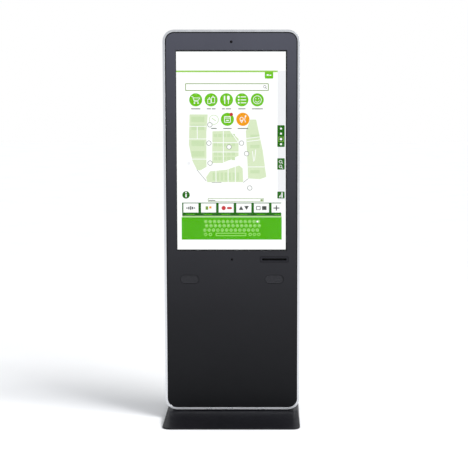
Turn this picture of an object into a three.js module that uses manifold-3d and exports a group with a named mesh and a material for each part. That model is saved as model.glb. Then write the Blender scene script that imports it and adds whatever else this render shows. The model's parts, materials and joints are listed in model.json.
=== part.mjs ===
// Free-standing touchscreen kiosk: a slab cabinet on a low steel foot.
// Millimetres, +Z up. The front faces -Y, and +X is to the right of someone facing the screen.
// The origin is on the floor, under the middle of the foot.

import * as THREE from 'three';
import { mergeVertices } from 'three/addons/utils/BufferGeometryUtils.js';
import Module from 'manifold-3d';

const wasm = await Module();
wasm.setup();

// ---------------------------------------------------------------- driving dimensions

const GAP = 0.3; // left between two pieces that touch

// cabinet
const CABINET = { width: 648, height: 1825, depth: 110, bottom: 45, radius: 54 };
const FRAME_LIP = 10.5; // width of the bright edge, front and rear
const FRAME_WALL = 3;
const LIP_THICKNESS = 5;
const GASKET = 5; // width of the black line between edge and panel
const SHEET = 1.6;
const FLANGE_DEPTH = 12;
const PANEL_SETBACK = 1.4; // front panel behind the cabinet's front edge

// 43 inch display, standing on end
const SCREEN = { width: 518.4, height: 941.2, x: -1.75, z: 1297.1 };
const SCREEN_OPENING = { width: 527, height: 954.2, z: 1297.6, radius: 2 };
const GLASS = { overlap: 12, thickness: 4 };
const LCD = { border: 12, thickness: 14, airGap: 2.2 };
const CHASSIS = { margin: 8, thickness: 25.2, pad: 5, wall: 1.5 };
const RAIL_HEIGHTS = { upper: 1500, lower: 1100 };

// front fittings
const WEBCAM = { z: 1813, hole: 6.5 };
const SENSOR = { z: 778.5, hole: 6 };
const OUTLET = { x: 203, z: 779, width: 134, height: 24, slotWidth: 118, slotHeight: 11 };
const SPEAKER = { x: 203, z: 682.5, width: 90, height: 42 };

// receipt printer behind the outlet
const PRINTER = { halfWidth: 62, bottom: 724, top: 800, rear: 46, wall: 3 };
const PAPER = { y: 12, z: 757, radius: 29, core: 8.5, halfWidth: 56 };
const PLATEN = { y: -30, z: 772, radius: 7, axle: 2.5 };
const PRINTER_LID = { y: 2, thickness: 3 };

// rear of the cabinet
const DOOR = { bottom: 165, top: 955 };
const REAR_SEAM = 5;
const HINGE = { x: -313, y: 60.3, radius: 5, pin: 2.5, half: 35, heights: { upper: 860, lower: 260 } };
const LOCK = { x: 250, reach: 30, heights: { upper: 890, lower: 260 } };
const FAN = { x: 80, z: 1690, size: 80, thickness: 25, bore: 38.5 };
const INLET = { x: -230, z: 100, width: 47, height: 58, depth: 34 };

// stand
const BASE = { width: 650, depth: 546, radius: 38, edge: 7, top: 39, topWidth: 634, topDepth: 116 };
const BASE_PLATE = { width: 636, depth: 500, radius: 32, thickness: 8 };
const COVER_CLEARANCE = 2; // under the cover's rim
const COVER_WALL = 2.5;
const COLUMN = { halfWidth: 180, y0: 2, y1: 38 };
const BEAM = { halfWidth: 311, y0: 0, y1: 40, z0: 134, z1: 170 };
const FOOT_FLANGE = { halfWidth: 225, y0: -45, y1: 85, thickness: 10 };
const UPRIGHT = { x0: 272, x1: 312, top: 1790, wall: 3 };
const LEVELLER = { x: 285, y: 150, pad: 18, padHeight: 4, stud: 6, top: 20 };
const BOLT = { x: 205, yFront: -30, yRear: 70, radius: 6, head: 10, headHeight: 7.5 };

// ---------------------------------------------------------------- derived places

const FRONT = -CABINET.depth / 2;
const REAR = CABINET.depth / 2;
const MID_Z = CABINET.bottom + CABINET.height / 2;
const TOP = CABINET.bottom + CABINET.height;
const PANEL_FRONT = FRONT + PANEL_SETBACK;
const PANEL_BACK = PANEL_FRONT + SHEET;
const GLASS_FRONT = PANEL_BACK + GAP;
const GLASS_BACK = GLASS_FRONT + GLASS.thickness;
const LCD_FRONT = GLASS_BACK + LCD.airGap;
const LCD_BACK = LCD_FRONT + LCD.thickness;
const CHASSIS_FRONT = LCD_BACK + GAP;
const CHASSIS_BACK = CHASSIS_FRONT + CHASSIS.thickness;
const REAR_OUTER = REAR - PANEL_SETBACK;
const REAR_INNER = REAR_OUTER - SHEET;
const REAR_EDGE = CABINET.width / 2 - FRAME_LIP - 1; // half width of the rear panels
const REAR_RADIUS = CABINET.radius - FRAME_LIP - 1;

// ---------------------------------------------------------------- solids

function solid(geometry) {
  const bare = geometry.clone();
  bare.deleteAttribute('normal');
  bare.deleteAttribute('uv');
  const merged = mergeVertices(bare, 1e-4);
  return new wasm.Manifold(new wasm.Mesh({
    numProp: 3,
    vertProperties: merged.attributes.position.array,
    triVerts: Uint32Array.from(merged.index.array),
  }));
}

function geometryOf(manifold) {
  const mesh = manifold.getMesh();
  const geometry = new THREE.BufferGeometry();
  geometry.setAttribute('position', new THREE.BufferAttribute(mesh.vertProperties, 3));
  geometry.setIndex(new THREE.BufferAttribute(mesh.triVerts, 1));
  geometry.computeVertexNormals();
  return geometry;
}

function join(...parts) {
  return geometryOf(parts.map(solid).reduce((sum, part) => sum.add(part)));
}

function cut(body, ...tools) {
  return geometryOf(tools.map(solid).reduce((left, tool) => left.subtract(tool), solid(body)));
}

function box(x0, x1, y0, y1, z0, z1) {
  const geometry = new THREE.BoxGeometry(x1 - x0, y1 - y0, z1 - z0);
  return geometry.translate((x0 + x1) / 2, (y0 + y1) / 2, (z0 + z1) / 2);
}

function rodX(y, z, radius, x0, x1, sides = 14) {
  const rod = new THREE.CylinderGeometry(radius, radius, x1 - x0, sides);
  return rod.rotateZ(Math.PI / 2).translate((x0 + x1) / 2, y, z);
}

function rodY(x, z, radius, y0, y1, sides = 14) {
  return new THREE.CylinderGeometry(radius, radius, y1 - y0, sides).translate(x, (y0 + y1) / 2, z);
}

function rodZ(x, y, radius, z0, z1, sides = 14) {
  const rod = new THREE.CylinderGeometry(radius, radius, z1 - z0, sides);
  return rod.rotateX(Math.PI / 2).translate(x, y, (z0 + z1) / 2);
}

// Rectangle with its own radius at the top and bottom corners. A radius of 0 is a square corner.
function cornered(x0, x1, y0, y1, topRadius, bottomRadius) {
  const shape = new THREE.Shape();
  const corners = [
    [x1, y0, -1, 1, bottomRadius], [x1, y1, -1, -1, topRadius],
    [x0, y1, 1, -1, topRadius], [x0, y0, 1, 1, bottomRadius],
  ];
  shape.moveTo(x0 + bottomRadius, y0);
  corners.forEach(([x, y, inX, inY, radius], turn) => {
    const start = (turn - 1) * (Math.PI / 2);
    const [centreX, centreY] = [x + inX * radius, y + inY * radius];
    shape.lineTo(centreX + radius * Math.cos(start), centreY + radius * Math.sin(start));
    if (radius > 0) shape.absarc(centreX, centreY, radius, start, start + Math.PI / 2);
  });
  return shape;
}

function rounded(x, y, width, height, radius) {
  return cornered(x - width / 2, x + width / 2, y - height / 2, y + height / 2, radius, radius);
}

function obround(x, y, width, height) {
  return rounded(x, y, width, height, Math.min(width, height) / 2 - 0.01);
}

function disc(x, y, radius) {
  const shape = new THREE.Shape();
  shape.absarc(x, y, radius, 0, Math.PI * 2);
  return shape;
}

function withHoles(shape, holes) {
  shape.holes.push(...holes);
  return shape;
}

// Upright plate: the shape's X and Y lie along X and Z, and the thickness along Y.
function plate(shape, y0, y1, segments = 3) {
  const geometry = new THREE.ExtrudeGeometry(shape, {
    depth: y1 - y0,
    bevelEnabled: false,
    curveSegments: segments,
  });
  return geometry.rotateX(Math.PI / 2).translate(0, y1, 0);
}

// Level plate: the shape lies in plan, and the thickness along Z.
function slab(shape, z0, z1, segments = 3) {
  const geometry = new THREE.ExtrudeGeometry(shape, {
    depth: z1 - z0,
    bevelEnabled: false,
    curveSegments: segments,
  });
  return geometry.translate(0, 0, z0);
}

// Closed body through level outlines that all have the same number of points.
function loft(levels) {
  const loops = levels.map(({ shape }) => shape.extractPoints(3).shape.slice(0, -1));
  const count = loops[0].length;
  const points = [];
  levels.forEach(({ z }, level) => {
    loops[level].forEach((point) => points.push(point.x, point.y, z));
  });
  const faces = [];
  for (let level = 0; level + 1 < levels.length; level += 1) {
    for (let i = 0; i < count; i += 1) {
      const next = (i + 1) % count;
      const [a, b] = [level * count + i, level * count + next];
      faces.push(a, b, b + count, a, b + count, a + count);
    }
  }
  const lid = (levels.length - 1) * count;
  THREE.ShapeUtils.triangulateShape(loops[0], []).forEach(([a, b, c]) => {
    faces.push(c, b, a);
    faces.push(a + lid, b + lid, c + lid);
  });
  const geometry = new THREE.BufferGeometry();
  geometry.setAttribute('position', new THREE.Float32BufferAttribute(points, 3));
  geometry.setIndex(faces);
  geometry.computeVertexNormals();
  return geometry;
}

function tube(points, radius, steps) {
  const path = new THREE.CatmullRomCurve3(points.map(([x, y, z]) => new THREE.Vector3(x, y, z)));
  return new THREE.ExtrudeGeometry(disc(0, 0, radius), {
    steps,
    curveSegments: 4,
    extrudePath: path,
  });
}

// Sheet-metal tray: a face with its edges turned in towards the cabinet.
function tray(outline, inset, faceFrom, faceTo, flangeFrom, flangeTo) {
  const flange = withHoles(outline(0), [outline(inset)]);
  return join(plate(outline(0), faceFrom, faceTo), plate(flange, flangeFrom, flangeTo));
}

// ---------------------------------------------------------------- materials

const finishes = {
  charcoal: { color: 0x3a3b3f, roughness: 0.45, metalness: 0.2 },
  darkSteel: { color: 0x222326, roughness: 0.5, metalness: 0.4 },
  aluminium: { color: 0xd4d6d9, roughness: 0.3, metalness: 0.9 },
  zinc: { color: 0xa7abae, roughness: 0.4, metalness: 0.8 },
  rubber: { color: 0x101011, roughness: 0.9, metalness: 0 },
  glass: { color: 0x0d0f10, roughness: 0.05, metalness: 0 },
  display: { color: 0xf2f5f0, roughness: 0.3, metalness: 0 },
  plastic: { color: 0x18191b, roughness: 0.55, metalness: 0 },
  lens: { color: 0x07080a, roughness: 0.05, metalness: 0 },
  paper: { color: 0xf4f3ee, roughness: 0.9, metalness: 0 },
  cable: { color: 0x141415, roughness: 0.7, metalness: 0 },
};

const kiosk = new THREE.Group();

function add(name, geometry, finish, parent = kiosk) {
  const mesh = new THREE.Mesh(geometry, new THREE.MeshStandardMaterial(finishes[finish]));
  mesh.name = name;
  parent.add(mesh);
  return mesh;
}

// ---------------------------------------------------------------- cabinet

function cabinetOutline(inset) {
  const { width, height, radius } = CABINET;
  return rounded(0, MID_Z, width - 2 * inset, height - 2 * inset, radius - inset);
}

function perimeterFrame() {
  const wall = plate(withHoles(cabinetOutline(0), [cabinetOutline(FRAME_WALL)]), FRONT, REAR);
  const lip = withHoles(cabinetOutline(1), [cabinetOutline(FRAME_LIP)]);
  const frontLip = plate(lip, FRONT, FRONT + LIP_THICKNESS);
  const rearLip = plate(lip, REAR - LIP_THICKNESS, REAR);
  const columnHole = box(
    -COLUMN.halfWidth - 1, COLUMN.halfWidth + 1,
    COLUMN.y0 - 1, COLUMN.y1 + 1,
    CABINET.bottom - 1, CABINET.bottom + FRAME_WALL + 1,
  );
  return cut(join(wall, frontLip, rearLip), columnHole);
}

function speakerOpening(side, grow = 0) {
  return obround(side * SPEAKER.x, SPEAKER.z, SPEAKER.width + grow, SPEAKER.height + grow);
}

function frontPanel() {
  const edge = FRAME_LIP + GASKET;
  const { width, height, z, radius } = SCREEN_OPENING;
  const [before, behind] = [PANEL_FRONT - 1, PANEL_BACK + 1];
  const outlet = rounded(OUTLET.x, OUTLET.z, OUTLET.width - 8, OUTLET.height - 8, 0);
  const face = cut(
    plate(cabinetOutline(edge), PANEL_FRONT, PANEL_BACK),
    plate(rounded(0, z, width, height, radius), before, behind, 1),
    plate(outlet, before, behind),
    plate(speakerOpening(-1), before, behind),
    plate(speakerOpening(1), before, behind),
    rodY(0, WEBCAM.z, WEBCAM.hole, before, behind),
    rodY(0, SENSOR.z, SENSOR.hole, before, behind),
  );
  const flange = withHoles(cabinetOutline(edge), [cabinetOutline(edge + SHEET)]);
  return join(face, plate(flange, PANEL_BACK - 0.2, PANEL_BACK + FLANGE_DEPTH));
}

function panelGasket() {
  const inner = cabinetOutline(FRAME_LIP + GASKET - GAP);
  return plate(withHoles(cabinetOutline(FRAME_LIP + GAP), [inner]), FRONT + 0.8, FRONT + 9);
}

add('perimeter_frame', perimeterFrame(), 'aluminium');
add('front_panel', frontPanel(), 'charcoal');
add('panel_gasket', panelGasket(), 'rubber');

// ---------------------------------------------------------------- display

function lcdChassis() {
  const width = SCREEN.width + 2 * (LCD.border + CHASSIS.margin);
  const height = SCREEN.height + 2 * (LCD.border + CHASSIS.margin);
  const outside = plate(rounded(SCREEN.x, SCREEN.z, width, height, 0), CHASSIS_FRONT, CHASSIS_BACK);
  const inside = rounded(SCREEN.x, SCREEN.z, width - 2 * CHASSIS.wall, height - 2 * CHASSIS.wall, 0);
  const can = cut(outside, plate(inside, CHASSIS_FRONT - 1, CHASSIS_BACK - CHASSIS.wall));
  const back = CHASSIS_BACK + CHASSIS.pad;
  const ribs = [-95, 95].map(
    (x) => box(x - 15, x + 15, CHASSIS_BACK - 1, back, SCREEN.z - 130, SCREEN.z + 130),
  );
  return join(can, ...ribs);
}

function displayRail(z) {
  const y0 = CHASSIS_BACK + GAP;
  const web = box(-UPRIGHT.x1, UPRIGHT.x1, y0, y0 + 2, z - 24, z + 24);
  const lower = box(-UPRIGHT.x1, UPRIGHT.x1, y0, BEAM.y0 - GAP, z - 24, z - 22);
  const upper = box(-UPRIGHT.x1, UPRIGHT.x1, y0, BEAM.y0 - GAP, z + 22, z + 24);
  return join(web, lower, upper);
}

const glassShape = rounded(
  0, SCREEN_OPENING.z,
  SCREEN_OPENING.width + 2 * GLASS.overlap, SCREEN_OPENING.height + 2 * GLASS.overlap,
  4,
);
const lcdShape = rounded(
  SCREEN.x, SCREEN.z,
  SCREEN.width + 2 * LCD.border, SCREEN.height + 2 * LCD.border,
  2,
);
add('touch_glass', plate(glassShape, GLASS_FRONT, GLASS_BACK, 1), 'glass');
add('lcd_panel', plate(lcdShape, LCD_FRONT, LCD_BACK, 1), 'display');
add('lcd_chassis', lcdChassis(), 'zinc');
add('display_rail_upper', displayRail(RAIL_HEIGHTS.upper), 'zinc');
add('display_rail_lower', displayRail(RAIL_HEIGHTS.lower), 'zinc');

// ---------------------------------------------------------------- webcam and light sensor

// Small housing behind the panel, with a round snout that fills the panel's hole.
function opticHousing(z, holeRadius, width, height, depth, bore) {
  const back = PANEL_BACK + GAP;
  const body = box(-width / 2, width / 2, back, back + depth, z - height / 2, z + height / 2);
  const snout = rodY(0, z, holeRadius - GAP, PANEL_FRONT + 0.4, back + 1);
  return cut(join(body, snout), rodY(0, z, bore, PANEL_FRONT - 1, back + 4));
}

function opticLens(z, radius, bulge) {
  const profile = [new THREE.Vector2(0, -2), new THREE.Vector2(radius, -2)];
  const steps = 5;
  for (let i = 0; i <= steps; i += 1) {
    const angle = (i / steps) * (Math.PI / 2);
    const r = i === steps ? 0 : radius * Math.cos(angle);
    profile.push(new THREE.Vector2(r, bulge * Math.sin(angle)));
  }
  const lens = new THREE.LatheGeometry(profile, 14);
  return lens.rotateX(Math.PI).translate(0, PANEL_FRONT + 2.6, z);
}

add('webcam_housing', opticHousing(WEBCAM.z, WEBCAM.hole, 64, 24, 20, 4.6), 'plastic');
add('webcam_lens', opticLens(WEBCAM.z, 4.2, 1.2), 'lens');
add('sensor_housing', opticHousing(SENSOR.z, SENSOR.hole, 30, 22, 14, 4), 'plastic');
add('sensor_lens', opticLens(SENSOR.z, 3.6, 0.6), 'lens');

// ---------------------------------------------------------------- speakers

const GRILLE_FACE = PANEL_BACK + 0.6;
const GRILLE_BACK = GRILLE_FACE + 1;

// A shallow tray with a turned-in rim, three slots and a fixing flange behind the panel.
function speakerGrille(side) {
  const rim = withHoles(speakerOpening(side, -2 * GAP), [speakerOpening(side, -3.4)]);
  const flange = withHoles(speakerOpening(side, 12), [speakerOpening(side, -1.5)]);
  const slots = [-1, 0, 1].map((row) => {
    const length = row === 0 ? 74 : 60;
    const z = SPEAKER.z + row * 10;
    return plate(rounded(side * SPEAKER.x, z, length, 4, 0), GRILLE_FACE - 1, GRILLE_BACK + 1);
  });
  return cut(
    join(
      plate(speakerOpening(side, -2 * GAP), GRILLE_FACE, GRILLE_BACK),
      plate(rim, PANEL_FRONT + 0.5, GRILLE_FACE + 0.2),
      plate(flange, PANEL_BACK + GAP, GRILLE_BACK),
    ),
    ...slots,
  );
}

function speakerDriver(side) {
  const basketFront = GRILLE_BACK + GAP;
  const flange = speakerOpening(side, 8);
  const basket = withHoles(flange, [speakerOpening(side, -6)]);
  const x = side * SPEAKER.x;
  const cone = new THREE.CylinderGeometry(14, 19, 14, 14).translate(x, basketFront + 9, SPEAKER.z);
  const back = plate(obround(x, SPEAKER.z, 86, 38), basketFront + 3, basketFront + 8);
  const magnet = rodY(x, SPEAKER.z, 17, basketFront + 12, basketFront + 28);
  return join(plate(basket, basketFront, basketFront + 4), back, cone, magnet);
}

for (const [name, side] of [['left', -1], ['right', 1]]) {
  add(`speaker_grille_${name}`, speakerGrille(side), 'plastic');
  add(`speaker_driver_${name}`, speakerDriver(side), 'plastic');
}

// ---------------------------------------------------------------- receipt outlet and printer

const TUNNEL_END = FRONT + 12;

function receiptBezel() {
  const { x, z, width, height, slotWidth, slotHeight } = OUTLET;
  const rim = plate(rounded(x, z, width, height, 3), PANEL_FRONT - 1.3, PANEL_FRONT - GAP, 2);
  const neck = plate(rounded(x, z, width - 8.8, height - 8.8, 2), PANEL_FRONT - 1, TUNNEL_END, 1);
  const slot = plate(rounded(x, z, slotWidth, slotHeight, 1.5), FRONT - 2, TUNNEL_END + 1, 1);
  return cut(join(rim, neck), slot);
}

const PRINTER_X0 = OUTLET.x - PRINTER.halfWidth;
const PRINTER_X1 = OUTLET.x + PRINTER.halfWidth;

function printerChassis() {
  const { bottom, top, rear, wall } = PRINTER;
  const front = TUNNEL_END + GAP;
  const shell = box(PRINTER_X0, PRINTER_X1, front, rear, bottom, top);
  const hollow = box(
    PRINTER_X0 + wall, PRINTER_X1 - wall,
    front + wall, rear - wall,
    bottom + wall, top + 1,
  );
  const half = OUTLET.slotWidth / 2;
  const mouth = box(
    OUTLET.x - half, OUTLET.x + half,
    front - 1, front + wall + 1,
    OUTLET.z - 6, OUTLET.z + 6,
  );
  const axle = rodX(PLATEN.y, PLATEN.z, PLATEN.axle + 0.5, PRINTER_X0 - 1, PRINTER_X1 + 1);
  const spindle = rodX(PAPER.y, PAPER.z, PAPER.core - 1.5, PRINTER_X0 + 1, PRINTER_X1 - 1);
  const headFront = PLATEN.y - 4;
  const headBottom = PLATEN.z + PLATEN.radius + 1;
  const head = box(PRINTER_X0 + 1, PRINTER_X1 - 1, headFront, PLATEN.y + 8, headBottom, top - 4);
  const earTop = OUTLET.z - 14;
  const ear = box(PRINTER_X0 - 10, PRINTER_X1 + 10, PANEL_BACK + GAP, PANEL_BACK + 3, bottom + 4, earTop);
  const arms = [PRINTER_X0, PRINTER_X1 - wall].map(
    (x) => box(x, x + wall, PANEL_BACK + 1, front + 1, bottom + 4, earTop),
  );
  return join(cut(shell, hollow, mouth, axle), spindle, head, ear, ...arms);
}

function paperRoll() {
  const outline = withHoles(disc(0, 0, PAPER.radius), [disc(0, 0, PAPER.core)]);
  const roll = new THREE.ExtrudeGeometry(outline, {
    depth: 2 * PAPER.halfWidth,
    bevelEnabled: false,
    curveSegments: 12,
  });
  return roll.rotateY(Math.PI / 2).translate(OUTLET.x - PAPER.halfWidth, PAPER.y, PAPER.z);
}

function platenRoller() {
  const inner = PRINTER.halfWidth - PRINTER.wall;
  const { y, z, radius, axle } = PLATEN;
  const roller = rodX(y, z, radius, OUTLET.x - inner + 1, OUTLET.x + inner - 1);
  const shaft = rodX(y, z, axle, PRINTER_X0 - 1, PRINTER_X1 + 1);
  return join(roller, shaft);
}

function printerLid() {
  const z0 = PRINTER.top + GAP;
  const z1 = z0 + PRINTER_LID.thickness;
  const lid = box(PRINTER_X0 + 1, PRINTER_X1 - 1, PRINTER_LID.y, PRINTER.rear, z0, z1);
  const tab = box(OUTLET.x - 12, OUTLET.x + 12, PRINTER.rear - 4, PRINTER.rear + 2, z1 - 1, z1 + 4);
  return join(lid, tab);
}

add('receipt_bezel', receiptBezel(), 'plastic');
add('printer_chassis', printerChassis(), 'zinc');
add('paper_roll', paperRoll(), 'paper');
add('platen_roller', platenRoller(), 'rubber');
add('printer_cover', printerLid(), 'plastic');

// ---------------------------------------------------------------- rear panels

function rearOutline(z0, z1, topRadius, bottomRadius) {
  return (inset) => cornered(
    -REAR_EDGE + inset, REAR_EDGE - inset,
    z0 + inset, z1 - inset,
    Math.max(topRadius - inset, 0), Math.max(bottomRadius - inset, 0),
  );
}

// Columns of level vent slots.
function vents(centres, rows, pitch, length) {
  return centres.flatMap(([x, z]) => Array.from({ length: rows }, (_, row) => {
    const height = z + (row - (rows - 1) / 2) * pitch;
    return plate(rounded(x, height, length, 5, 0), REAR_INNER - 2, REAR_OUTER + 1);
  }));
}

const FLANGE_FRONT = REAR_INNER - FLANGE_DEPTH + 1.8;

function rearTray(z0, z1, topRadius, bottomRadius) {
  const outline = rearOutline(z0, z1, topRadius, bottomRadius);
  return tray(outline, SHEET, REAR_INNER, REAR_OUTER, FLANGE_FRONT, REAR_INNER + 0.2);
}

const REAR_TOP = TOP - FRAME_LIP - 1;
const REAR_BOTTOM = CABINET.bottom + FRAME_LIP + 1;

function rearPanel() {
  const panel = rearTray(DOOR.top + REAR_SEAM, REAR_TOP, REAR_RADIUS, 0);
  return cut(panel, ...vents([[-FAN.x, FAN.z], [FAN.x, FAN.z]], 5, 13, 66));
}

function serviceDoor() {
  const panel = rearTray(DOOR.bottom, DOOR.top, 0, 0);
  const lockHoles = Object.values(LOCK.heights).map(
    (z) => rodY(LOCK.x, z, 9.9, REAR_INNER - 2, REAR_OUTER + 2),
  );
  return cut(panel, ...lockHoles, ...vents([[-120, 330], [120, 330]], 4, 14, 110));
}

function inletPanel() {
  const panel = rearTray(REAR_BOTTOM, DOOR.bottom - REAR_SEAM, 0, REAR_RADIUS);
  const { x, z, width, height } = INLET;
  const hole = rounded(x, z, width + 1, height + 1, 0);
  return cut(panel, plate(hole, REAR_INNER - 2, REAR_OUTER + 2));
}

add('rear_panel', rearPanel(), 'charcoal');
add('inlet_panel', inletPanel(), 'charcoal');

const door = new THREE.Group();
kiosk.add(door);
add('service_door', serviceDoor(), 'charcoal', door);

// Lift-off hinges: the lower half carries the pin and stays on the frame.
for (const [name, z] of Object.entries(HINGE.heights)) {
  const { x, y, radius, pin, half } = HINGE;
  const fixedLeaf = join(
    rodZ(x, y, radius, z - half, z - GAP),
    rodZ(x, y, pin, z - 2, z + half - 6, 16),
    box(x - 10, x, REAR + GAP, REAR + 2.4, z - half, z - GAP),
  );
  const doorLeaf = cut(
    join(
      rodZ(x, y, radius, z + GAP, z + half),
      box(x + 1, x + 29, REAR_OUTER + GAP, REAR_OUTER + 3, z + GAP, z + half),
    ),
    rodZ(x, y, pin + 0.5, z - 1, z + half - 4, 16),
  );
  add(`hinge_leaf_${name}`, fixedLeaf, 'zinc');
  add(`door_leaf_${name}`, doorLeaf, 'zinc', door);
}

// Cam locks, at rest with the cam hanging down and the door free.
const CAM_FRONT = BEAM.y1 + 0.6;
const CAM_BACK = CAM_FRONT + 2;

for (const [name, z] of Object.entries(LOCK.heights)) {
  const { x, reach } = LOCK;
  const barrel = cut(
    join(rodY(x, z, 12, REAR_OUTER + GAP, REAR_OUTER + 2.6), rodY(x, z, 9.5, CAM_BACK + 1.2, REAR_OUTER + 1)),
    rodY(x, z, 6.5, CAM_BACK, REAR + 4),
  );
  const plug = cut(
    rodY(x, z, 6, CAM_BACK + GAP, REAR_OUTER + 3),
    box(x - 0.9, x + 0.9, REAR_OUTER - 3, REAR_OUTER + 4, z - 3.5, z + 3.5),
  );
  const cam = plate(rounded(x, z - reach / 2, 15, reach + 15, 7.4), CAM_FRONT, CAM_BACK);
  const keeper = join(
    box(x + 13, x + 54, CAM_BACK + 0.6, CAM_BACK + 3, z - 14, z + 14),
    box(x + 47, x + 54, BEAM.y1 + GAP, CAM_BACK + 1, z - 14, z + 14),
  );
  add(`lock_barrel_${name}`, barrel, 'zinc', door);
  add(`lock_plug_${name}`, plug, 'zinc', door);
  add(`lock_cam_${name}`, cam, 'zinc', door);
  add(`lock_keeper_${name}`, keeper, 'zinc');
}

// ---------------------------------------------------------------- fans

const FAN_BACK = REAR_INNER - GAP;
const FAN_FRONT = FAN_BACK - FAN.thickness;

function fanFrame(x) {
  const { z, size, bore } = FAN;
  const outline = withHoles(rounded(x, z, size, size, 4), [disc(x, z, bore)]);
  const motor = rodY(x, z, 15, FAN_FRONT, FAN_FRONT + 6);
  const struts = [0, 1, 2].map((turn) => {
    const strut = new THREE.BoxGeometry(2 * bore + 2, 2, 4);
    return strut.rotateY((turn * Math.PI) / 3).translate(x, FAN_FRONT + 1, z);
  });
  return join(plate(outline, FAN_FRONT, FAN_BACK, 6), motor, ...struts);
}

function fanRotor(x) {
  const { z, bore } = FAN;
  const start = FAN_FRONT + 6.5;
  const end = FAN_BACK - 2;
  const hub = rodY(x, z, 16, start, end);
  const count = 5;
  const blades = Array.from({ length: count }, (_, i) => {
    const blade = new THREE.BoxGeometry(14, 1.8, bore - 19).translate(0, 0, (bore + 12) / 2);
    blade.rotateZ(Math.PI / 5);
    return blade.rotateY((i * 2 * Math.PI) / count).translate(x, (start + end) / 2, z);
  });
  return join(hub, ...blades);
}

for (const [name, x] of [['left', -FAN.x], ['right', FAN.x]]) {
  add(`fan_frame_${name}`, fanFrame(x), 'plastic');
  add(`fan_rotor_${name}`, fanRotor(x), 'plastic');
}

// ---------------------------------------------------------------- electronics

const PC = { halfWidth: 110, depth: 30, z0: SCREEN.z - 115, z1: SCREEN.z + 115 };
const PC_FRONT = CHASSIS_BACK + CHASSIS.pad + GAP;

function mediaPc() {
  const body = box(-PC.halfWidth, PC.halfWidth, PC_FRONT, PC_FRONT + PC.depth, PC.z0, PC.z1);
  const fins = Array.from({ length: 8 }, (_, i) => {
    const x = -PC.halfWidth + 12 + i * 27;
    return box(x, x + 8, PC_FRONT + PC.depth - 4, PC_FRONT + PC.depth + 1, PC.z0 + 15, PC.z1 + 1);
  });
  const room = box(
    -PC.halfWidth + 2, PC.halfWidth - 2,
    PC_FRONT + 2, PC_FRONT + PC.depth - 6,
    PC.z0 + 2, PC.z1 - 2,
  );
  const plugs = box(-60, -20, PC_FRONT + 6, PC_FRONT + 20, PC.z0 - 1, PC.z0 + 3);
  return cut(body, room, plugs, ...fins);
}

const SHELL = 1.5; // power supply's sheet
const PSU = { halfWidth: 100, y0: 1, y1: 38, z0: BEAM.z1 + GAP, z1: BEAM.z1 + 110 };

// Sheet box with a row of vents in its rear face.
function powerSupply() {
  const { halfWidth, y0, y1, z0, z1 } = PSU;
  const room = box(-halfWidth + SHELL, halfWidth - SHELL, y0 + SHELL, y1 - SHELL, z0 + SHELL, z1 - SHELL);
  const slots = [-60, -30, 0, 30, 60].map((x) => box(x - 4, x + 4, y1 - 3, y1 + 1, z0 + 25, z1 - 25));
  return cut(box(-halfWidth, halfWidth, y0, y1, z0, z1), room, ...slots);
}

add('media_pc', mediaPc(), 'darkSteel');
add('power_supply', powerSupply(), 'zinc');

// Mains inlet module: appliance socket below, rocker switch above.
const SOCKET = { z: INLET.z - 13, width: 27, height: 19, depth: 18 };
const ROCKER = { z: INLET.z + 15, width: 26, height: 14, depth: 12, lean: 6 };
const INLET_FACE = REAR_OUTER + 2.8;

function powerInlet() {
  const { x, z, width, height, depth } = INLET;
  const flange = plate(rounded(x, z, width + 9, height + 9, 5), REAR_OUTER + GAP, INLET_FACE, 2);
  const body = plate(rounded(x, z, width, height, 2), REAR_OUTER - depth, REAR_OUTER + 1, 1);
  const socket = plate(
    rounded(x, SOCKET.z, SOCKET.width, SOCKET.height, 4),
    INLET_FACE - SOCKET.depth, INLET_FACE + 1, 2,
  );
  const window = plate(
    rounded(x, ROCKER.z, ROCKER.width, ROCKER.height, 1),
    INLET_FACE - ROCKER.depth, INLET_FACE + 1, 1,
  );
  return cut(join(flange, body), socket, window);
}

// The rocker turns about a level axis just inside its window.
function powerRocker() {
  const profile = new THREE.Shape();
  const half = ROCKER.height / 2 - 1.2;
  profile.moveTo(-2.5, -half);
  profile.lineTo(1.5, -half);
  profile.lineTo(0.4, 0);
  profile.lineTo(1.5, half);
  profile.lineTo(-2.5, half);
  const cap = new THREE.ExtrudeGeometry(profile, { depth: ROCKER.width - 2, bevelEnabled: false });
  cap.translate(0, 0, -(ROCKER.width - 2) / 2).rotateY(Math.PI / 2).rotateX(Math.PI / 2);
  cap.rotateX(THREE.MathUtils.degToRad(ROCKER.lean));
  return cap;
}

add('power_inlet', powerInlet(), 'plastic');
add('power_rocker', powerRocker(), 'plastic').position.set(INLET.x, INLET_FACE - 1, ROCKER.z);

// Leads that stay inside the cabinet.
const MAINS_ROUTE = [
  [-230, 19.3, 85], [-230, 4, 85], [-229, -8, 94], [-226, -12, 120], [-222, -12, 180],
  [-205, -8, 210], [-170, 6, 227], [-130, 17, 230], [-100.3, 19, 230],
];
const DISPLAY_ROUTE = [
  [110.3, 14, 1250], [130, 14, 1250], [150, 14, 1256], [166, 12, 1270],
  [170, 8, 1284], [170, 0, 1290], [170, -5.7, 1290],
];
const PC_POWER_ROUTE = [
  [40, 19, 280.3], [40, 19, 310], [30, 18, 430], [10, 16, 620],
  [0, 14, 850], [20, 13, 1050], [40, 13, 1150], [40, 13, 1181.5],
];
add('mains_lead', tube(MAINS_ROUTE, 4, 20), 'cable');
add('display_cable', tube(DISPLAY_ROUTE, 3, 14), 'cable');
add('pc_power_lead', tube(PC_POWER_ROUTE, 3, 14), 'cable');

// ---------------------------------------------------------------- stand

function baseOutline(z, inset) {
  const { width, depth, radius } = BASE;
  return { shape: rounded(0, 0, width - 2 * inset, depth - 2 * inset, radius - inset), z };
}

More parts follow.
